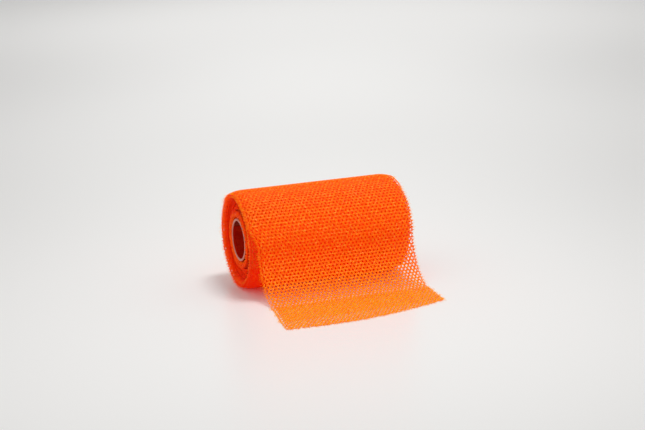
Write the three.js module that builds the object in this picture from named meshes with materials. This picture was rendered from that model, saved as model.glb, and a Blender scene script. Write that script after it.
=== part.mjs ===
// A roll of knitted orthopaedic casting tape on a plastic core tube, with its free end led off
// the front of the roll and laid flat in front of it.
//
// Millimetres, +Z up. X runs along the roll's axis, and the free end comes off towards -Y.
// The origin is the middle of the flat on which the roll rests.
import * as THREE from 'three';

// ---- driving dimensions ----

const gap = 0.3; // between solids that touch on the real roll

// the knitted tape
const tapeWidth = 101.6; // relaxed width, 4 in
const tapeThickness = 0.6;

// the roll, standing on a narrow flat that its own weight presses
const rollRadius = 29.5;
const restFlatHalfWidth = 5;

// the core tube and the film strip that holds the first turn to it
const coreRadius = 12.8;
const coreWall = 1.4;
const coreRecess = 1.3; // how far each end of the core lies inside the tape's edge
const stripThickness = 0.2;
const stripWidth = 19; // measured round the core
const stripEndMargin = 1.5; // from each end of the strip to the end of the core
const stripStartAngle = 25; // degrees up from the back of the core

// the wound turns: three groups that have slipped along the axis by different amounts
const woundNarrowing = 2.6; // how much tension draws in the width of the wound turns
const innerGroupDepth = 3.9;
const outerGroupDepth = 3.1; // and the middle group fills what is left
const innerSlip = 0;
const middleSlip = 1;
const outerSlip = -1.3;
const lastTurnEndAngle = -25; // degrees, where the last turn meets the turn below it

// the free end, as strips that hinge on lines parallel to X
const freeStripCount = 6;
const cutStripShortEdge = 6.5; // length of the last strip where it is shortest
const leadDropHandle = 17; // how far the tape falls straight before it turns outwards
const leadFloorHandle = 6; // how far before the flat it starts to level out
const leadReach = 20.5; // from the roll's front to where the tape lies flat
const leftLength = 75.9; // of the free end along its left edge
const rightLength = 64.5; // and along its right edge: the end is cut askew
const neckLeft = 4.6; // how far the pulled fabric draws in at its left edge
const neckStartAngle = 32; // degrees up the roll's front, where the left edge starts to draw in
const flareStart = 37; // from the lead-off line to where the edges start to spread again
const cutInsetLeft = 0.2; // how far each edge still is from the full width at the cut
const cutInsetRight = 1.4;

// ---- worked out from those ----

const axisHeight = Math.sqrt(rollRadius ** 2 - restFlatHalfWidth ** 2);
const middleLine = rollRadius - tapeThickness / 2; // radius of the last turn's middle surface
const woundOuter = rollRadius - tapeThickness - gap;
const woundWidth = tapeWidth - woundNarrowing;
const coreLength = tapeWidth - 2 * coreRecess;
const stripLength = coreLength - 2 * stripEndMargin;
const innerGroupInner = coreRadius + gap + stripThickness + gap;
const innerGroupOuter = innerGroupInner + innerGroupDepth;
const middleGroupInner = innerGroupOuter + gap;
const outerGroupInner = woundOuter - outerGroupDepth;
const middleGroupOuter = outerGroupInner - gap;

// along the tape, from one hinge line of the free end to the next
const shortLength = Math.min(leftLength, rightLength);
const freeStripLength = (shortLength - cutStripShortEdge) / (freeStripCount - 1);

const ringSides = 120;
const sidesPerDegree = ringSides / 360;
const stripSteps = 6; // along each strip of the free end

const toRadians = THREE.MathUtils.degToRad;

// ---- materials ----

function fabric(color) {
  return new THREE.MeshStandardMaterial({ color, roughness: 0.6, metalness: 0 });
}

const outerFabric = fabric(0xf7591b);
const shadedFabric = fabric(0xd23a12);
const flatFabric = fabric(0xfa8228);
const corePlastic = new THREE.MeshStandardMaterial({ color: 0xd6a08c, roughness: 0.3, metalness: 0 });
const stripFilm = new THREE.MeshStandardMaterial({ color: 0xe8dcd2, roughness: 0.4, metalness: 0 });

// ---- outlines in the plane across the roll ----

// Radius of the roll's surface, `inset` mm below its skin, at an angle up from the roll's front.
// It is a circle, cut off by the flat at the bottom.
function skinRadius(angle, inset) {
  const round = rollRadius - inset;
  const down = -Math.sin(angle);
  if (down <= 0) return round;
  return Math.min(round, (axisHeight - inset) / down);
}

// A point at a radius and an angle up from the roll's front, as [y, z].
function onRoll(radius, angle) {
  return [-radius * Math.cos(angle), axisHeight + radius * Math.sin(angle)];
}

// Counter-clockwise with y to the right, as a THREE.Shape and its hole both need.
function closedOutline(radiusAt) {
  const points = [];
  for (let i = 0; i < ringSides; i += 1) {
    const angle = (-2 * Math.PI * i) / ringSides;
    points.push(new THREE.Vector2(...onRoll(radiusAt(angle), angle)));
  }
  return points;
}

// ---- solids ----

// A ring of constant section from x = left to x = right.
function ring(outerRadiusAt, innerRadius, left, right) {
  const shape = new THREE.Shape(closedOutline(outerRadiusAt));
  shape.holes.push(new THREE.Path(closedOutline(() => innerRadius)));
  const geometry = new THREE.ExtrudeGeometry(shape, { depth: right - left, bevelEnabled: false });
  // the shape's x and y are the roll's y and z, and its depth is the roll's x
  geometry.applyMatrix4(new THREE.Matrix4().makeBasis(
    new THREE.Vector3(0, 1, 0),
    new THREE.Vector3(0, 0, 1),
    new THREE.Vector3(1, 0, 0),
  ));
  geometry.translate(left, 0, 0);
  return geometry;
}

// A flat strip bent to its place. place(along, across, depth) gives the point for a share of the
// strip's length and width, and for a depth from -1 at its under side to 1 at its upper side.
function bentStrip(steps, place) {
  const geometry = new THREE.BoxGeometry(1, 1, 2, 1, steps, 1);
  const position = geometry.getAttribute('position');
  for (let i = 0; i < position.count; i += 1) {
    const point = place(position.getY(i) + 0.5, position.getX(i) + 0.5, position.getZ(i));
    position.setXYZ(i, ...point);
  }
  geometry.computeVertexNormals();
  return geometry;
}

function coreTube() {
  const bore = coreRadius - coreWall;
  const half = coreLength / 2;
  const profile = [
    new THREE.Vector2(bore, -half),
    new THREE.Vector2(coreRadius, -half),
    new THREE.Vector2(coreRadius, half),
    new THREE.Vector2(bore, half),
    new THREE.Vector2(bore, -half),
  ];
  const geometry = new THREE.LatheGeometry(profile, ringSides);
  geometry.rotateZ(-Math.PI / 2);
  geometry.translate(0, 0, axisHeight);
  return geometry;
}

// The film strip lies on the core, over an arc that starts up its back.
function starterStrip() {
  const sweep = stripWidth / coreRadius;
  const steps = Math.ceil(THREE.MathUtils.radToDeg(sweep) * sidesPerDegree);
  const start = Math.PI - toRadians(stripStartAngle) - sweep;
  const inner = coreRadius + gap;
  return bentStrip(steps, (along, across, depth) => {
    const radius = inner + (stripThickness * (1 + depth)) / 2;
    const angle = start + sweep * along;
    return [(across - 0.5) * stripLength, ...onRoll(radius, angle)];
  });
}

// A group of wound turns, as one ring that has slipped along the axis.
function turnGroup(outerRadiusAt, innerRadius, slip) {
  return ring(outerRadiusAt, innerRadius, slip - woundWidth / 2, slip + woundWidth / 2);
}

function smooth(value, from, to) {
  return THREE.MathUtils.smoothstep(value, from, to);
}

// The last turn runs from the lead-off line at the roll's front over the top, down the back and
// under the roll, to where it dives below the free end. Its left edge draws in near the lead-off.
function lastTurn() {
  const sweep = 2 * Math.PI + toRadians(lastTurnEndAngle);
  const steps = Math.ceil(THREE.MathUtils.radToDeg(sweep) * sidesPerDegree);
  const seam = gap / 2 / middleLine;
  return bentStrip(steps, (along, across, depth) => {
    const angle = seam + (sweep - seam) * along;
    const inset = (tapeThickness * (1 - depth)) / 2;
    const left = -tapeWidth / 2 + neckLeft * smooth(-angle, -toRadians(neckStartAngle), 0);
    const x = THREE.MathUtils.lerp(left, tapeWidth / 2, across);
    return [x, ...onRoll(skinRadius(angle, inset), angle)];
  });
}

// ---- the free end ----

// The middle line of the free end: it falls from the roll's front, turns outwards and lies flat.
function freePath() {
  const top = new THREE.Vector2(-middleLine, axisHeight);
  const floor = new THREE.Vector2(-rollRadius - leadReach, tapeThickness / 2);
  const lead = new THREE.CubicBezierCurve(
    top,
    new THREE.Vector2(top.x, top.y - leadDropHandle),
    new THREE.Vector2(floor.x + leadFloorHandle, floor.y),
    floor,
  );
  const flatLength = Math.max(leftLength, rightLength);
  const flat = new THREE.LineCurve(floor, new THREE.Vector2(floor.x - flatLength, floor.y));
  return { lead, flat, leadLength: lead.getLength(), flatLength };
}

const path = freePath();

// Position and upward normal at a distance from the lead-off line, as { y, z, normal }.
function onFreePath(distance) {
  const curve = distance < path.leadLength ? path.lead : path.flat;
  const share = distance < path.leadLength
    ? distance / path.leadLength
    : (distance - path.leadLength) / path.flatLength;
  const point = curve.getPointAt(THREE.MathUtils.clamp(share, 0, 1));
  const tangent = curve.getTangentAt(THREE.MathUtils.clamp(share, 0, 1));
  return { y: point.x, z: point.y, normal: new THREE.Vector2(tangent.y, -tangent.x) };
}

// Left and right edges of the free end at a distance from the lead-off line.
function edges(distance) {
  const left = neckLeft + (cutInsetLeft - neckLeft) * smooth(distance, flareStart, leftLength);
  const right = cutInsetRight * smooth(distance, flareStart, rightLength);
  return [-tapeWidth / 2 + left, tapeWidth / 2 - right];
}

// One strip, from its hinge line to the next one, or to the cut for the last strip.
function freeStrip(index) {
  const start = index * freeStripLength + gap / 2;
  const isLast = index === freeStripCount - 1;
  return bentStrip(stripSteps, (along, across, depth) => {
    const cut = THREE.MathUtils.lerp(leftLength, rightLength, across);
    const end = isLast ? cut : (index + 1) * freeStripLength - gap / 2;
    const distance = THREE.MathUtils.lerp(start, end, 1 - along);
    const { y, z, normal } = onFreePath(distance);
    const [left, right] = edges(distance);
    const lift = (tapeThickness / 2) * depth;
    return [THREE.MathUtils.lerp(left, right, across), y + normal.x * lift, z + normal.y * lift];
  });
}

// ---- assembly ----

const roll = new THREE.Group();

function add(name, geometry, material) {
  const mesh = new THREE.Mesh(geometry, material);
  mesh.name = name;
  roll.add(mesh);
}

add('core_tube', coreTube(), corePlastic);
add('starter_strip', starterStrip(), stripFilm);
add('inner_turns', turnGroup(() => innerGroupOuter, innerGroupInner, innerSlip), shadedFabric);
add('middle_turns', turnGroup(() => middleGroupOuter, middleGroupInner, middleSlip), shadedFabric);
add(
  'outer_turns',
  turnGroup((angle) => skinRadius(angle, rollRadius - woundOuter), outerGroupInner, outerSlip),
  shadedFabric,
);
add('last_turn', lastTurn(), outerFabric);
for (let i = 0; i < freeStripCount; i += 1) {
  add(`free_end_${i + 1}`, freeStrip(i), flatFabric);
}

export default roll;
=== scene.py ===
import math

import bpy
import numpy as np
from mathutils import Matrix, Vector


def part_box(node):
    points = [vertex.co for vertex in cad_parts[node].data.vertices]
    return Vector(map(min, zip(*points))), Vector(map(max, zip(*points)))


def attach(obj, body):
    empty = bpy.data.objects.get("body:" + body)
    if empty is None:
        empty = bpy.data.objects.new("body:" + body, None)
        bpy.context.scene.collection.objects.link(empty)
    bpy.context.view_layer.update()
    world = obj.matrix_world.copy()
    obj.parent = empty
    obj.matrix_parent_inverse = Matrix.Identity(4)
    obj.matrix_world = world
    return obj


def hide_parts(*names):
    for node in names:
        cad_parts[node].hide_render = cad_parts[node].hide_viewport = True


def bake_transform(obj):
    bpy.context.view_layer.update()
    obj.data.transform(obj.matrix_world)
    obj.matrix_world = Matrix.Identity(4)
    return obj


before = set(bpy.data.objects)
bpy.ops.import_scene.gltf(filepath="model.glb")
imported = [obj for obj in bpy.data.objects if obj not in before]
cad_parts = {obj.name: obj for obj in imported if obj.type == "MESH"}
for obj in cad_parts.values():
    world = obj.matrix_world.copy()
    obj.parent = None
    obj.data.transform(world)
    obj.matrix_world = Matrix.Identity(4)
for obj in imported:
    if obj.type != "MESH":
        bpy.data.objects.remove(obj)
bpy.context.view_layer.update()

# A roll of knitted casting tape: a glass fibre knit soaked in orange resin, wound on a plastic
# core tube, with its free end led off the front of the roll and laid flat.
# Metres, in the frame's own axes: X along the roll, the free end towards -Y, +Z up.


# ---- The camera ----
# It looks at the roll from the front, from its left and from a little above, with a long lens
# held slightly off level.

mm = 0.001
look_at = Vector((-2.9, -20.0, 43.6)) * mm
stand_off = 946.6 * mm
left_turn = math.radians(-20.25)
height_angle = math.radians(14.79)
camera_lean = math.radians(-1.66)

backwards = Vector((
    math.sin(left_turn) * math.cos(height_angle),
    -math.cos(left_turn) * math.cos(height_angle),
    math.sin(height_angle),
))
level_right = (-backwards).cross(Vector((0, 0, 1))).normalized()
level_up = level_right.cross(-backwards)
right = math.cos(camera_lean) * level_right + math.sin(camera_lean) * level_up
up = math.cos(camera_lean) * level_up - math.sin(camera_lean) * level_right

bpy.ops.object.select_all(action="DESELECT")
bpy.ops.object.camera_add(location=look_at + stand_off * backwards)
camera = bpy.context.object
camera.name = "camera"
camera.rotation_euler = Matrix((right, up, backwards)).transposed().to_euler()
camera.data.sensor_width = 36
camera.data.lens = 89.3
camera.data.clip_end = 20
bpy.context.scene.camera = camera


# ---- The table and the studio light ----
# A seamless pale table with a faint sheen, lit from above by three soft lamps in a row, from over
# the roll to well behind it, and by the white room round it.

bpy.context.scene.view_settings.view_transform = "Standard"

bpy.ops.mesh.primitive_plane_add(size=12)
table = bpy.context.object
table.name = "table"

table_paint = bpy.data.materials.new("table_paint")
table_paint.use_nodes = True
shader = table_paint.node_tree.nodes["Principled BSDF"]
shader.inputs["Base Color"].default_value = (0.86, 0.855, 0.845, 1)
shader.inputs["Roughness"].default_value = 0.32
shader.inputs["Specular IOR Level"].default_value = 0.5
table.data.materials.append(table_paint)

room = bpy.data.worlds.new("room")
room.use_nodes = True
room.node_tree.nodes["Background"].inputs["Color"].default_value = (1.0, 0.995, 0.985, 1)
room.node_tree.nodes["Background"].inputs["Strength"].default_value = 0.60
bpy.context.scene.world = room


def studio_lamp(name, place, aim, cone, watts):
    """A lamp behind a round diffuser, whose light fades out softly towards the rim of its cone."""
    bpy.ops.object.light_add(type="SPOT", location=place)
    lamp = bpy.context.object
    lamp.name = name
    lamp.data.spot_size = math.radians(cone)
    lamp.data.spot_blend = 1
    lamp.data.shadow_soft_size = 0.2
    lamp.data.energy = watts
    lamp.rotation_euler = (Vector(place) - Vector(aim)).to_track_quat("Z", "Y").to_euler()


studio_lamp("front_lamp", (0.22, -0.05, 1.2), (-0.04, -0.09, 0), 39, 31)
studio_lamp("middle_lamp", (0.16, 0.43, 1.4), (0.16, 0.43, 0), 38, 36)
studio_lamp("back_lamp", (0.40, 1.05, 1.8), (0.40, 1.05, 0), 38, 63)


# ---- The core tube ----
# An extruded polyethylene tube, milky and translucent. It is sawn to length, a little shorter
# than the tape is wide, and the saw leaves its rims slightly rounded.

core_low, core_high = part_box("core_tube")
core_radius = core_high.y
core_wall = 1.4 * mm
rim_rounding = 0.45 * mm
sawn_depth = 0.5 * mm
core_length = core_high.x - core_low.x
axis_height = (core_low.z + core_high.z) / 2

bpy.ops.mesh.primitive_cylinder_add(
    vertices=96,
    radius=core_radius,
    depth=core_length,
    end_fill_type="NOTHING",
    location=(0, 0, axis_height),
    rotation=(0, math.pi / 2, 0),
)
core = bpy.context.object
core.name = "core_tube_moulded"
bpy.ops.object.transform_apply(location=True, rotation=True, scale=True)
wall = core.modifiers.new("wall", "SOLIDIFY")
wall.thickness = core_wall
wall.offset = -1
bpy.ops.object.modifier_apply(modifier="wall")
rim = core.modifiers.new("rim", "BEVEL")
rim.width = rim_rounding
rim.segments = 3
rim.limit_method = "ANGLE"
rim.angle_limit = math.radians(50)
bpy.ops.object.modifier_apply(modifier="rim")
bpy.ops.object.shade_smooth_by_angle(angle=math.radians(40))


def blank_material(name):
    """A new material, with its node tree and its shader."""
    material = bpy.data.materials.new(name)
    material.use_nodes = True
    tree = material.node_tree
    return material, tree, tree.nodes["Principled BSDF"]


def own_place(tree):
    """The place on the piece, in metres."""
    return tree.nodes.new("ShaderNodeTexCoord").outputs["Object"]


def noise(tree, place, fineness, detail):
    """A noise from 0 to 1 that is as fine along x, y and z as fineness says, per metre."""
    stretch = tree.nodes.new("ShaderNodeMapping")
    stretch.inputs["Scale"].default_value = fineness
    tree.links.new(place, stretch.inputs["Vector"])
    texture = tree.nodes.new("ShaderNodeTexNoise")
    texture.inputs["Scale"].default_value = 1
    texture.inputs["Detail"].default_value = detail
    tree.links.new(stretch.outputs["Vector"], texture.inputs["Vector"])
    return texture.outputs["Fac"]


def ranged(tree, value, low, high, to_low, to_high):
    """A value between low and high, carried over to another range."""
    node = tree.nodes.new("ShaderNodeMapRange")
    node.inputs["From Min"].default_value = low
    node.inputs["From Max"].default_value = high
    node.inputs["To Min"].default_value = to_low
    node.inputs["To Max"].default_value = to_high
    tree.links.new(value, node.inputs["Value"])
    return node.outputs["Result"]


def mixed(tree, share, first, second):
    """A colour between two, each a plain colour or another node's output."""
    mix = tree.nodes.new("ShaderNodeMix")
    mix.data_type = "RGBA"
    tree.links.new(share, mix.inputs["Factor"])
    for socket, colour in ((mix.inputs["A"], first), (mix.inputs["B"], second)):
        if isinstance(colour, tuple):
            socket.default_value = (*colour, 1)
        else:
            tree.links.new(colour, socket)
    return mix.outputs["Result"]


def relief(tree, height, strength, depth):
    """A normal for a surface that rises and falls with a height."""
    bump = tree.nodes.new("ShaderNodeBump")
    bump.inputs["Strength"].default_value = strength
    bump.inputs["Distance"].default_value = depth
    tree.links.new(height, bump.inputs["Height"])
    return bump.outputs["Normal"]


core_plastic, tree, shader = blank_material("core_plastic")
shader.inputs["Transmission Weight"].default_value = 1.0
shader.inputs["IOR"].default_value = 1.18
streaks = noise(tree, own_place(tree), (30, 900, 900), 3)
# The pinkish red tint is painted light: the plastic is milky white, and the tint stands in for the
# red light it takes up from the tape round it, darkening the bore.
colour = mixed(tree, ranged(tree, streaks, 0.3, 0.7, 0, 1), (0.66, 0.20, 0.15), (0.78, 0.32, 0.25))
tree.links.new(colour, shader.inputs["Base Color"])
tree.links.new(ranged(tree, streaks, 0, 1, 0.08, 0.2), shader.inputs["Roughness"])
tree.links.new(relief(tree, streaks, 0.15, 0.05 * mm), shader.inputs["Normal"])
core.data.materials.append(core_plastic)

sawn_plastic, tree, shader = blank_material("sawn_plastic")
shader.inputs["Roughness"].default_value = 0.42
shader.inputs["Subsurface Weight"].default_value = 0.4
shader.inputs["Subsurface Radius"].default_value = (1.0, 0.4, 0.3)
shader.inputs["Subsurface Scale"].default_value = 1.0 * mm
saw_marks = noise(tree, own_place(tree), (1500, 1500, 1500), 2)
# The pinkish red tint is painted light: the sawn plastic is milky white, and the tint stands in for
# the red light it takes up from the tape round it.
colour = mixed(tree, saw_marks, (0.56, 0.15, 0.10), (0.74, 0.27, 0.20))
tree.links.new(colour, shader.inputs["Base Color"])
core.data.materials.append(sawn_plastic)
for face in core.data.polygons:
    if abs(face.center.x) > core_length / 2 - sawn_depth:
        face.material_index = 1

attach(core, "roll")
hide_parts("core_tube")


# ---- The starter strip ----
# A strip of white film tape that holds the inner end of the knit to the core. Its CAD shape is
# right as it is, so it only gets its finish.

strip_film, tree, shader = blank_material("strip_film")
shader.inputs["Roughness"].default_value = 0.35
creases = noise(tree, own_place(tree), (260, 260, 260), 2)
colour = mixed(tree, creases, (0.82, 0.52, 0.44), (0.95, 0.74, 0.66))
tree.links.new(colour, shader.inputs["Base Color"])
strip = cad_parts["starter_strip"]
strip.data.materials.clear()
strip.data.materials.append(strip_film)


# ---- The tape: how it runs ----
# One strip of knit, 4 in wide. Distances along it are measured from the line where it leaves the
# roll's front: positive on the free end, negative back over the top of the roll and round it.
# Angles go the same way round the roll: 0 at its front, 90 degrees at its top, 270 underneath.

last_low, last_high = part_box("last_turn")
tape_width = last_high.x - last_low.x
roll_radius = last_high.y
roll_axis = last_high.z - roll_radius
tape_thickness = 0.6 * mm
middle_line = roll_radius - tape_thickness / 2
below_low, below_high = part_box("outer_turns")
below_radius = below_high.y - tape_thickness / 2

lead_drop_handle = 17 * mm
lead_floor_handle = 6 * mm
lead_reach = 20.5 * mm
left_length = 75.9 * mm
right_length = 64.5 * mm
neck_left = 4.6 * mm
neck_angle = math.radians(32)
flare_start = 37 * mm
cut_inset_left = 0.2 * mm
cut_inset_right = 1.4 * mm
table_clearance = 0.05 * mm
edge_inset_top = 0.5 * mm
edge_droop_depth = 1.3 * mm
edge_droop_width = 7.5 * mm
below_right = below_high.x + 1.4 * mm

# Each pair of angles is where a change begins and where it is complete: the edges droop, the right
# edge draws in, both edges shift onto those of the turn below, and the last turn sinks onto it.
droop_angles = np.radians((8, 55))
edge_inset_angles = np.radians((28, 60))
edge_dive_angles = np.radians((250, 352))
dive_angles = np.radians((318, 352))


def smooth(value, start, end):
    """A smooth rise from 0 at the start to 1 at the end."""
    share = np.clip((value - start) / (end - start), 0, 1)
    return share * share * (3 - 2 * share)


def flattened(radius, angle):
    """Radius at an angle up from the roll's front, where the roll's weight presses it flat."""
    core_share = np.clip((radius - core_radius) / (roll_radius - core_radius), 0, 1)
    lowest = radius - (roll_radius - roll_axis) * core_share
    return np.minimum(radius, lowest / np.maximum(-np.sin(angle), 1e-6))


def edge_droop(across):
    """How far the slack edges of the outer turns sink towards the roll's axis. The loops beyond
    the edge sink a little further, so the share may pass 1."""
    from_edge = np.minimum(across, tape_width - across)
    return edge_droop_depth * np.clip(1 - from_edge / edge_droop_width, 0, 1.1) ** 2


def lead_off_points():
    """The curve on which the tape falls from the roll and turns out along the table."""
    top = np.array((-middle_line, roll_axis))
    floor = np.array((-roll_radius - lead_reach, tape_thickness / 2))
    top_handle = top - (0, lead_drop_handle)
    floor_handle = floor + (lead_floor_handle, 0)
    share = np.linspace(0, 1, 401)[:, None]
    rest = 1 - share
    return (rest ** 3 * top + 3 * rest ** 2 * share * top_handle
            + 3 * rest * share ** 2 * floor_handle + share ** 3 * floor)


lead_points = lead_off_points()
lead_steps = np.linalg.norm(np.diff(lead_points, axis=0), axis=1)
lead_distances = np.concatenate([[0], np.cumsum(lead_steps)])
lead_length = lead_distances[-1]
lead_tangents = np.gradient(lead_points, axis=0)
lead_tangents /= np.linalg.norm(lead_tangents, axis=1)[:, None]


def tape_line(along):
    """Middle line of the tape and its outward normal, as y, z, ny, nz."""
    angle = -along / middle_line
    dive = smooth(angle, *dive_angles)
    radius = flattened(middle_line + (below_radius - middle_line) * dive, angle)
    roll_y = -radius * np.cos(angle)
    roll_z = roll_axis + radius * np.sin(angle)
    lead_y = np.interp(along, lead_distances, lead_points[:, 0])
    lead_y = lead_y - np.maximum(along - lead_length, 0)
    lead_z = np.interp(along, lead_distances, lead_points[:, 1])
    tangent_y = np.interp(along, lead_distances, lead_tangents[:, 0])
    tangent_z = np.interp(along, lead_distances, lead_tangents[:, 1])
    free = along > 0
    return (np.where(free, lead_y, roll_y), np.where(free, lead_z, roll_z),
            np.where(free, tangent_z, -np.cos(angle)), np.where(free, -tangent_y, np.sin(angle)))


def tape_edges(along):
    """x of the tape's left and right edges."""
    angle = -along / middle_line
    flare = smooth(along, flare_start, left_length)
    free_neck = neck_left + (cut_inset_left - neck_left) * flare
    neck = np.where(along > 0, free_neck, neck_left * smooth(-angle, -neck_angle, 0))
    inset = np.where(along > 0, cut_inset_right * smooth(along, flare_start, right_length), 0)
    dive = smooth(angle, *edge_dive_angles)
    left = last_low.x + neck + (below_low.x - last_low.x) * dive
    edge_pull = edge_inset_top * smooth(angle, *edge_inset_angles)
    right_side = last_high.x - inset - edge_pull * (1 - dive) + (below_right - last_high.x) * dive
    return left, right_side


def on_tape(along, across, lift):
    """Points for places on the flat tape: along it, across it from its left edge, and above it.
    None lies below the table."""
    y, z, normal_y, normal_z = tape_line(along)
    on_roll = smooth(-along / middle_line, *droop_angles)
    lift = lift + table_clearance * smooth(along, 0, lead_length) - edge_droop(across) * on_roll
    left, right_side = tape_edges(along)
    x = left + (right_side - left) * across / tape_width
    return np.stack([x, y + normal_y * lift, np.maximum(z + normal_z * lift, 0)], axis=-1)


# ---- The tape: how it is knitted ----
# Each wale is a chain of stitches whose two strands cross once in every row. Neighbouring wales
# lean together and apart in turn, which leaves staggered rows of holes. A yarn laid in across
# the wales ribs every row, and the selvedges have a small loop to each row and stray filaments.

wale_count = 83
wale_pitch = tape_width / wale_count
row_pitch = 2.0 * mm
wale_lean = 0.31 * mm
selvedge_loop = 0.85 * mm
strand_half_width = 0.27 * mm
strand_half_height = 0.16 * mm
strand_spread = 0.33 * mm
strand_rise = 0.16 * mm
strand_unevenness = 0.16  # of a strand's width
wander_across = 0.15 * mm
wander_along = 0.2 * mm
inlay_half_width = 0.33 * mm
inlay_half_height = 0.14 * mm
inlay_rise = 0.09 * mm
inlay_end_gap = 0.2 * mm
inlay_unevenness = 0.2  # of the yarn's width
flat_width_share = 0.96  # of a strand's width, and of its height, once the tape lies flat
flat_height_share = 0.7
corners = np.arange(4) * math.pi / 2


def wander(wale, row, pace):
    """A slow, even disorder between -1 and 1, so that no two stitches are quite alike."""
    return (math.sin(2.4 * wale) * np.sin(pace * row + 1.9 * wale)
            + math.cos(5.1 * wale) * np.sin(0.61 * pace * row - 3.3 * wale)) / 2


def laid_flat(along):
    """0 on the roll, 1 where the tape lies on the table and its yarns have slackened."""
    return smooth(along, 5 * mm, lead_length)


def wale_strands(wale, rows, plies, flat):
    """The strands of one wale, as (along, across, lift) for four corners at each step. With one
    ply, a single broad strand stands for the two where only its outline shows."""
    lean = -wale_lean * (-1) ** wale * np.cos(np.pi * rows)
    loop = selvedge_loop * (0.5 - 0.5 * np.cos(2 * np.pi * rows))
    if wale == 0:
        lean = np.maximum(lean, 0) - loop
    if wale == wale_count - 1:
        lean = np.minimum(lean, 0) + loop
    centre = (wale + 0.5) * wale_pitch + lean + wander_across * wander(wale, rows, 1.3)
    width_share = 1 + (flat_width_share - 1) * flat
    height_share = 1 + (flat_height_share - 1) * flat
    twist = np.pi * rows
    along = rows * row_pitch + wander_along * wander(wale, rows, 0.7)
    strands = []
    for ply in range(plies):
        side = 1 - 2 * ply
        uneven = 1 + strand_unevenness * wander(wale + 7 * ply, rows, 2.1)
        half_width = strand_half_width * width_share * uneven
        if plies == 2:
            across = centre + side * strand_spread * np.sin(twist)
            lift = side * strand_rise * np.cos(twist)
            half_height = strand_half_height
        else:
            across = centre
            lift = 0 * rows
            half_width = half_width + strand_spread * np.abs(np.sin(twist))
            half_height = 1.2 * strand_half_height
        lift = (lift[:, None] + half_height * np.sin(corners)) * height_share[:, None]
        strands.append(np.stack([
            np.repeat(along[:, None], 4, axis=1),
            across[:, None] + half_width[:, None] * np.cos(corners),
            lift,
        ], axis=-1))
    return strands


def inlay_yarn(row):
    """The yarn laid in across all the wales between two rows of holes."""
    across = np.linspace(0.02, 1, 2 * wale_count) * (tape_width - inlay_end_gap)
    flat = laid_flat(np.array(row * row_pitch))
    sway = 0.05 * np.sin(5 * across / wale_pitch) + 0.06 * np.sin(0.9 * across / wale_pitch + row)
    half_width = inlay_half_width * (1 + (flat_width_share - 1) * flat)
    half_width = half_width * (1 + inlay_unevenness * math.sin(2.3 * row))
    height_share = 1 + (flat_height_share - 1) * flat
    return np.stack([
        ((row + 0.5 + sway) * row_pitch)[:, None] + half_width * np.cos(corners),
        np.repeat(across[:, None], 4, axis=1),
        (inlay_rise - inlay_half_height * np.sin(corners)) * height_share + 0 * across[:, None],
    ], axis=-1)


filament_curl = 0.5  # of its length, to either side
filament_taper = 0.6
selvedge_filaments_per_row = 10
selvedge_filament_thickness = 0.065 * mm


def stray_filament(start, reach, thickness, chance):
    """A glass filament that stands out of the tape from one place by a reach, curling a little."""
    step = np.linspace(0, 1, 4)
    curl = chance.uniform(-filament_curl, filament_curl, 3) * np.linalg.norm(reach)
    line = start + reach * step[:, None] + curl * (step[:, None] ** 2)
    around = np.linalg.svd(reach[None, :])[2][1:]
    ring = np.cos(corners)[:, None] * around[0] + np.sin(corners)[:, None] * around[1]
    if np.linalg.det(np.stack([reach, around[0], around[1]])) < 0:
        ring = ring[::-1]
    taper = thickness * (1 - filament_taper * step)
    return line[:, None, :] + taper[:, None, None] * ring


def selvedge_filaments(first_row, last_row, seed):
    """Stray filaments along both edges of a length of tape."""
    chance = np.random.default_rng(seed)
    filaments = []
    for _ in range(int((last_row - first_row) * selvedge_filaments_per_row)):
        edge = int(chance.integers(0, 2))
        along = chance.uniform(first_row, last_row) * row_pitch
        start = np.array((along, edge * tape_width, chance.uniform(-0.1, 0.15) * mm))
        outwards = (2 * edge - 1) * chance.uniform(0.7, 2.0) * mm
        reach = np.array((chance.uniform(-0.7, 0.7) * mm, outwards, chance.uniform(-0.2, 0.5) * mm))
        filaments.append(stray_filament(start, reach, selvedge_filament_thickness, chance))
    return filaments


yarn_offset = 3.7 * mm  # between the runs of two yarns, so that their grain differs


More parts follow.
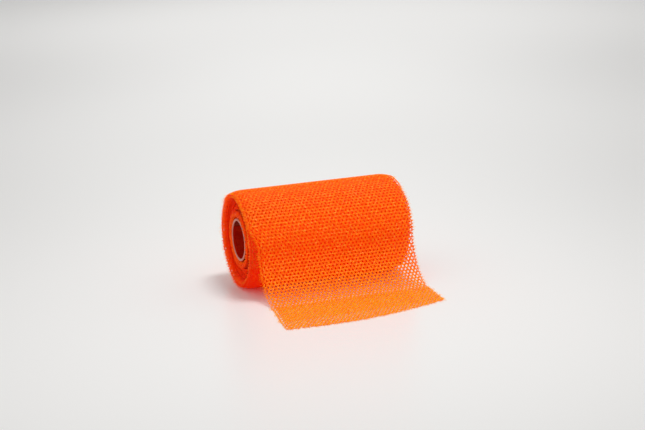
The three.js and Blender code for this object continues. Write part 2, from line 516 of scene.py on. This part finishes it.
def join_tubes(name, tubes, flat_tubes, painted_table_light=0.0, painted_shade=0.0, painted_crevice_shade=0.0):
    """One mesh of closed tubes, each given as its rings of four corners, in order, and as the same
    rings on the flat tape. The last three arguments say how far each point gets the painted light of
    the tape on the table, the painted shade under the roll and under other turns, and the painted
    shade between two turns. The finish reads these, the place on the flat tape and the run of each
    yarn: its section in x and y, and the distance along it in z."""
    points, quads, caps, yarns, count = [], [], [], [], 0
    for number, tube in enumerate(tubes):
        steps = len(tube)
        ring = count + 4 * np.arange(steps - 1)[:, None]
        corner = ring + np.arange(4)
        following = ring + (np.arange(4) + 1) % 4
        quads.append(np.stack([corner, following, following + 4, corner + 4], axis=-1).reshape(-1, 4))
        last = count + 4 * (steps - 1)
        caps += [[count + 3, count + 2, count + 1, count], [last, last + 1, last + 2, last + 3]]
        points.append(tube.reshape(-1, 3))
        gaps = np.linalg.norm(np.diff(tube.mean(axis=1), axis=0), axis=1)
        run = np.concatenate([[0], np.cumsum(gaps)])[:, None] + yarn_offset * number
        yarns.append(np.stack([
            strand_half_width * np.cos(corners) + 0 * run,
            strand_half_width * np.sin(corners) + 0 * run,
            run + 0 * corners,
        ], axis=-1).reshape(-1, 3))
        count += 4 * steps
    sides = np.concatenate(quads)
    faces = np.concatenate([sides, np.array(caps)])
    mesh = bpy.data.meshes.new(name)
    mesh.from_pydata(np.concatenate(points), [], faces)
    is_side = np.arange(len(faces)) < len(sides)
    mesh.polygons.foreach_set("use_smooth", is_side)
    places = np.concatenate([tube.reshape(-1, 3) for tube in flat_tubes])
    for label, values in (("place", places), ("yarn", np.concatenate(yarns))):
        own = mesh.attributes.new(label, "FLOAT_VECTOR", "POINT")
        own.data.foreach_set("vector", values.astype(np.float32).ravel())
    for label, values in (("painted_table_light", painted_table_light), ("painted_shade", painted_shade), ("painted_crevice_shade", painted_crevice_shade)):
        own = mesh.attributes.new(label, "FLOAT", "POINT")
        own.data.foreach_set("value", np.full(count, values).astype(np.float32))
    mesh.update()
    piece = bpy.data.objects.new(name, mesh)
    bpy.context.scene.collection.objects.link(piece)
    return piece


# Where the painted light on the tape begins and where it is full.
light_from = 4 * mm
light_to = 52 * mm
painted_shade_angles = np.radians((215, 290))


def painted_light_share(along):
    """How far the tape gets painted light, from none where it leaves the roll to full where it lies
    flat on the table.
    """
    return smooth(along, light_from, light_to)


def knit(name, first_row, last_row, plies, steps_per_row):
    """A length of the tape between two rows. last_row may be a function of the wale. The stray
    filaments at its edges get the same painted light as the tape on the table, which stands in for
    the light that goes through them."""
    tubes = []
    for wale in range(wale_count):
        end = last_row(wale) if callable(last_row) else last_row
        first_step = math.floor(first_row * steps_per_row) + 1
        inner = np.arange(first_step, end * steps_per_row - 0.2) / steps_per_row
        rows = np.concatenate([[first_row], inner, [end]])
        tubes += wale_strands(wale, rows, plies, laid_flat(rows * row_pitch))
    end = min(last_row(0), last_row(wale_count - 1)) if callable(last_row) else last_row
    for row in range(math.ceil(first_row - 0.5), math.ceil(end - 0.5)):
        tubes.append(inlay_yarn(row))
    strays = selvedge_filaments(first_row, end, seed=len(tubes)) if plies == 2 else []
    tubes += strays
    along = np.concatenate([tube[..., 0].ravel() for tube in tubes])
    is_stray = np.arange(len(along)) >= len(along) - sum(tube[..., 0].size for tube in strays)
    # Painted light: the tape grows lighter and yellower towards the table, for the light it gets from
    # the front and from the table under it; the stray filaments get it in full.
    painted_table_light = np.maximum(painted_light_share(along), is_stray)
    # Painted shade: the last turn darkens and reddens from the back of the roll round its underside,
    # where little light falls, and the turn below gets it in full.
    painted_shade = smooth(-along / middle_line, *painted_shade_angles)
    return join_tubes(name, [on_tape(*np.moveaxis(tube, -1, 0)) for tube in tubes], tubes,
                      painted_table_light, painted_shade)


# ---- The tape: its finish ----
# Glass fibre yarn soaked in orange resin: each strand is a bundle of fine glossy filaments that
# lets a little light through.

# The finish also paints light and shade into the colour: a glow for the light through the yarns,
# glints, light on the tape on the table, and shade under and between the turns.
resin_and_painted_light = bpy.data.node_groups.new("resin_and_painted_light", "ShaderNodeTree")
for label, side, kind in (
    ("Place", "INPUT", "NodeSocketVector"),
    ("Yarn", "INPUT", "NodeSocketVector"),
    ("Painted table light", "INPUT", "NodeSocketFloat"),
    ("Painted shade", "INPUT", "NodeSocketFloat"),
    ("Painted crevice shade", "INPUT", "NodeSocketFloat"),
    ("Colour", "OUTPUT", "NodeSocketColor"),
    ("Roughness", "OUTPUT", "NodeSocketFloat"),
    ("Painted glow", "OUTPUT", "NodeSocketColor"),
    ("Height", "OUTPUT", "NodeSocketFloat"),
):
    resin_and_painted_light.interface.new_socket(name=label, in_out=side, socket_type=kind)
given = resin_and_painted_light.nodes.new("NodeGroupInput")
result = resin_and_painted_light.nodes.new("NodeGroupOutput")

patch = noise(resin_and_painted_light, given.outputs["Place"], (420, 420, 420), 4)
patch = ranged(resin_and_painted_light, patch, 0.35, 0.65, 0, 1)
# Painted glints: scattered specks are lightened in colour, and there the resin is also glossier.
painted_glint = noise(resin_and_painted_light, given.outputs["Place"], (850, 850, 850), 1)
painted_glint = ranged(resin_and_painted_light, painted_glint, 0.58, 0.70, 0, 1)
filaments = noise(resin_and_painted_light, given.outputs["Yarn"], (5200, 5200, 420), 2)
furrow = ranged(resin_and_painted_light, filaments, 0.55, 0.38, 0, 0.4)
open_knit = mixed(resin_and_painted_light, patch, (0.84, 0.12, 0.001), (0.92, 0.27, 0.006))
# Painted light: lighter, yellower colours for the tape on the table.
painted_lit_knit = mixed(resin_and_painted_light, patch, (0.92, 0.25, 0.0), (0.96, 0.42, 0.001))
# Painted shade: darker, redder colours where little light reaches, under the roll and under other
# turns.
painted_shade_knit = mixed(resin_and_painted_light, patch, (0.76, 0.015, 0.0), (0.90, 0.07, 0.001))
colour = mixed(resin_and_painted_light, given.outputs["Painted table light"], open_knit, painted_lit_knit)
colour = mixed(resin_and_painted_light, painted_glint, colour, (0.98, 0.44, 0.06))
colour = mixed(resin_and_painted_light, given.outputs["Painted shade"], colour, painted_shade_knit)
colour = mixed(resin_and_painted_light, furrow, colour, (0.62, 0.05, 0.0))
# Painted shade between the turns: the colour goes nearly black-red there.
colour = mixed(resin_and_painted_light, given.outputs["Painted crevice shade"], colour, (0.30, 0.001, 0.0))
gloss = ranged(resin_and_painted_light, painted_glint, 0, 1, 0.5, 0.25)
# Painted glow: the emission stands in for light through and between the yarns, strongest on the tape
# on the table and weaker in the painted shade.
painted_glow = mixed(resin_and_painted_light, given.outputs["Painted table light"], (1.0, 0.07, 0.0), (1.0, 0.19, 0.0))
painted_glow = mixed(resin_and_painted_light, given.outputs["Painted shade"], painted_glow, (0.8, 0.012, 0.0))
painted_glow = mixed(resin_and_painted_light, given.outputs["Painted crevice shade"], painted_glow, (0.12, 0.0, 0.0))
for label, value in (("Colour", colour), ("Roughness", gloss), ("Painted glow", painted_glow), ("Height", filaments)):
    resin_and_painted_light.links.new(value, result.inputs[label])


def yarn_material(name, painted_glow_strength):
    """The finish on the knit, with a painted glow in its emission, as strong as the given strength,
    that stands in for the light that passes through the yarns and bounces between them.
    """
    material, tree, shader = blank_material(name)
    finish = tree.nodes.new("ShaderNodeGroup")
    finish.node_tree = resin_and_painted_light
    for label, attribute, output in (
        ("Place", "place", "Vector"),
        ("Yarn", "yarn", "Vector"),
        ("Painted table light", "painted_table_light", "Fac"),
        ("Painted shade", "painted_shade", "Fac"),
        ("Painted crevice shade", "painted_crevice_shade", "Fac"),
    ):
        own = tree.nodes.new("ShaderNodeAttribute")
        own.attribute_name = attribute
        tree.links.new(own.outputs[output], finish.inputs[label])
    grain = relief(tree, finish.outputs["Height"], 0.5, 0.04 * mm)
    tree.links.new(grain, shader.inputs["Normal"])
    tree.links.new(finish.outputs["Colour"], shader.inputs["Base Color"])
    tree.links.new(finish.outputs["Roughness"], shader.inputs["Roughness"])
    tree.links.new(finish.outputs["Painted glow"], shader.inputs["Emission Color"])
    shader.inputs["Emission Strength"].default_value = painted_glow_strength
    shader.inputs["Specular IOR Level"].default_value = 0.12
    shader.inputs["Subsurface Weight"].default_value = 0.5
    shader.inputs["Subsurface Radius"].default_value = (1.0, 0.35, 0.05)
    shader.inputs["Subsurface Scale"].default_value = 0.8 * mm
    return material


casting_knit = yarn_material("casting_knit", painted_glow_strength=0.28)


# ---- The wound turns ----
# The turns below the last one, in three groups that have slipped along the core by different
# amounts, so that each end of the roll is dished. Each group is one spiral of tape. Only its
# edges show, so they are knitted, and a plain web of the same tape runs between them.

wound_knit = yarn_material("wound_knit", painted_glow_strength=0.34)
web_half_thickness = 0.18 * mm
edge_wales = 2
web_steps_per_turn = 72
wound_steps_per_row = 3
right_slip = 1.2 * mm
slack_radii = (17 * mm, 29 * mm)
clump_height = 0.35 * mm
clump_shade = 0.45


def clump(y, z):
    """Where the edges of neighbouring turns stand out together, near 1, or have sunk back
    together, near -1."""
    y, z = y / mm, z / mm
    return np.sin(2.3 * y + 1.6 * np.sin(1.4 * z)) * np.sin(2.1 * z + 1.6 * np.sin(1.5 * y))


def wind(node, inner_radius, turns, insets, belly, sway, shades, depth):
    """One group of turns. insets are how far its left edge lies inside its box at its first and its
    last turn, belly how much further in between, and sway how unevenly the turns lie, all in
    millimetres. shades are how much painted shade the first and the last turn get, and depth how dark
    the painted shade between the turns is."""
    low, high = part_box(node)
    outer_radius = high.y if node != "outer_turns" else below_radius - tape_thickness / 2
    right_edge = min(high.x + right_slip, last_high.x)
    first_radius = inner_radius + tape_thickness / 2
    turn_pitch = (outer_radius - inner_radius - tape_thickness) / turns
    full_angle = 2 * math.pi * turns
    length = first_radius * full_angle + turn_pitch * full_angle ** 2 / (4 * math.pi)

    def on_spiral(along, across, lift):
        growth = turn_pitch / (4 * math.pi)
        angle = (-first_radius + np.sqrt(first_radius ** 2 + 4 * growth * along)) / (2 * growth)
        radius = first_radius + turn_pitch * angle / (2 * math.pi)
        slackness = smooth(radius, *slack_radii)
        radius = flattened(radius, -angle) + lift - edge_droop(across) * slackness
        turn_number = angle / (2 * math.pi)
        share = turn_number / turns
        shift = sway * mm * (np.sin(2.6 * turn_number) + np.sin(5.9 * turn_number + 1))
        inset = insets[0] + (insets[1] - insets[0]) * share + belly * 4 * share * (1 - share)
        left_edge = low.x + inset * mm
        y = -radius * np.cos(angle)
        z = roll_axis - radius * np.sin(angle)
        outwards = np.where(across < tape_width / 2, -1, 1) * clump_height * clump(y, z)
        x = left_edge + (right_edge - left_edge) * across / tape_width + shift + outwards
        return np.stack([x, y, z], axis=-1)

    rows = np.arange(0, length / row_pitch * wound_steps_per_row) / wound_steps_per_row
    tubes = []
    for wale in list(range(edge_wales)) + list(range(wale_count - edge_wales, wale_count)):
        tubes += wale_strands(wale, rows, plies=1, flat=0 * rows)
    web_inset = edge_wales * wale_pitch
    along = np.linspace(0, length, turns * web_steps_per_turn)[:, None]
    across = np.array((web_inset, tape_width - web_inset, tape_width - web_inset, web_inset))
    lift = web_half_thickness * np.array((-1, -1, 1, 1))
    tubes.append(np.stack([along + 0 * across, across + 0 * along, lift + 0 * along], axis=-1))
    along = np.concatenate([tube[..., 0].ravel() for tube in tubes])
    # Painted shade on the end faces, changing from the first turn to the last.
    painted_shade = shades[0] + (shades[1] - shades[0]) * along / length
    across = np.concatenate([tube[..., 1].ravel() for tube in tubes])
    from_edge = np.minimum(across, tape_width - across)
    placed = [on_spiral(*np.moveaxis(tube, -1, 0)) for tube in tubes]
    points = np.concatenate([tube.reshape(-1, 3) for tube in placed])
    # Painted shade in the hollows between turns, deeper away from each edge and where the edges have
    # sunk back together.
    sunk_painted_shade = smooth(-clump(points[:, 1], points[:, 2]), -0.1, 0.7)
    sunk_painted_shade *= clump_shade * (1 - smooth(from_edge, 1.0 * mm, 2.4 * mm))
    painted_crevice_shade = np.maximum(depth * smooth(from_edge, 0.1 * mm, 1.6 * mm), sunk_painted_shade)
    group = join_tubes(node + "_knit", placed, tubes, 0.0, painted_shade, painted_crevice_shade)
    group.data.materials.append(wound_knit)
    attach(group, "roll")
    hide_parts(node)


wind("inner_turns", inner_radius=13.6 * mm, turns=7, insets=(0.5, 0.6), belly=-0.3, sway=0.5,
     shades=(0.3, 0.65), depth=0.62)
wind("middle_turns", inner_radius=17.8 * mm, turns=13, insets=(0.6, 1.8), belly=1.3, sway=0.65,
     shades=(0.85, 0.95), depth=0.8)
wind("outer_turns", inner_radius=25.5 * mm, turns=5, insets=(2.6, -0.3), belly=-0.4, sway=0.2,
     shades=(1.0, 0.1), depth=0.3)


# ---- The turn below the last ----
# The turn that shows through the holes of the last one. The last turn runs on into it where that
# dives under the free end.

turn_parts = 2
last_turn_angle = math.radians(335)
turn_rows = 2 * math.pi * middle_line / row_pitch
last_turn_rows = -last_turn_angle * middle_line / row_pitch
for part in range(turn_parts):
    start = last_turn_rows - turn_rows * (1 - part / turn_parts)
    turn = knit(f"turn_below_{part + 1}", start, start + turn_rows / turn_parts, plies=1,
                steps_per_row=3)
    turn.data.materials.append(casting_knit)
    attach(turn, "roll")


# ---- The last turn ----
# The outermost turn, from where it passes under the free end, round the roll to the lead-off.

lead_joint = 5.8 * mm
lead_row = -lead_joint / row_pitch
last_turn_parts = 3
part_rows = (lead_row - last_turn_rows) / last_turn_parts
for part in range(last_turn_parts):
    start = last_turn_rows + part_rows * part
    last_turn = knit(f"last_turn_{part + 1}", start, start + part_rows, plies=2, steps_per_row=4)
    last_turn.data.materials.append(casting_knit)
    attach(last_turn, "roll")
    if part == 0:
        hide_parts("last_turn")


# ---- The free end ----
# The loose end, cut askew by hand along a slightly bowed line. Each length of it is its own piece,
# and the cut end rides on the body of the last one.

strip_count = 6
strip_length = 11.6 * mm
borders = [-lead_joint] + [(k + 0.5) * strip_length for k in range(strip_count)]
cut_bow = 6.5 * mm
cut_unevenness = 0.3 * mm


def cut_row(wale):
    """The row, whole or not, at which the cut goes through a wale."""
    share = (wale + 0.5) / wale_count
    straight = left_length + (right_length - left_length) * share
    uneven = cut_unevenness * math.sin(1.7 * wale) * math.sin(0.37 * wale)
    return (straight + cut_bow * math.sin(math.pi * share) + uneven) / row_pitch


for k in range(strip_count):
    bend = knit(f"free_end_bend_{k + 1}", borders[k] / row_pitch, borders[k + 1] / row_pitch,
                plies=2, steps_per_row=4)
    bend.data.materials.append(casting_knit)
    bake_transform(bend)
    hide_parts(f"free_end_{k + 1}")

cut_end = knit("free_end_cut", borders[-1] / row_pitch, cut_row, plies=2, steps_per_row=4)
cut_end.data.materials.append(casting_knit)
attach(cut_end, "free_end_6")


# ---- The frayed cut ----
# The glass filaments that the scissors left standing out of the ends of the strands.

cut_filament_count = 900
cut_filament_thickness = 0.055 * mm
chance = np.random.default_rng(3)
filaments = []
for _ in range(cut_filament_count):
    wale = int(chance.integers(0, wale_count))
    along = cut_row(wale) * row_pitch - chance.uniform(0.1, 0.9) * mm
    across = (wale + 0.5 + chance.uniform(-0.5, 0.5)) * wale_pitch
    start = np.array((along, across, chance.uniform(-0.1, 0.12) * mm))
    length = chance.uniform(0.8, 2.4) * mm
    reach = length * np.array((1, chance.uniform(-0.7, 0.7), chance.uniform(-0.02, 0.35)))
    filaments.append(stray_filament(start, reach, cut_filament_thickness, chance))
along = np.concatenate([tube[..., 0].ravel() for tube in filaments])
fibres = join_tubes("cut_fibres", [on_tape(*np.moveaxis(tube, -1, 0)) for tube in filaments],
                    filaments, painted_light_share(along))
fibres.data.materials.append(casting_knit)
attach(fibres, "free_end_6")
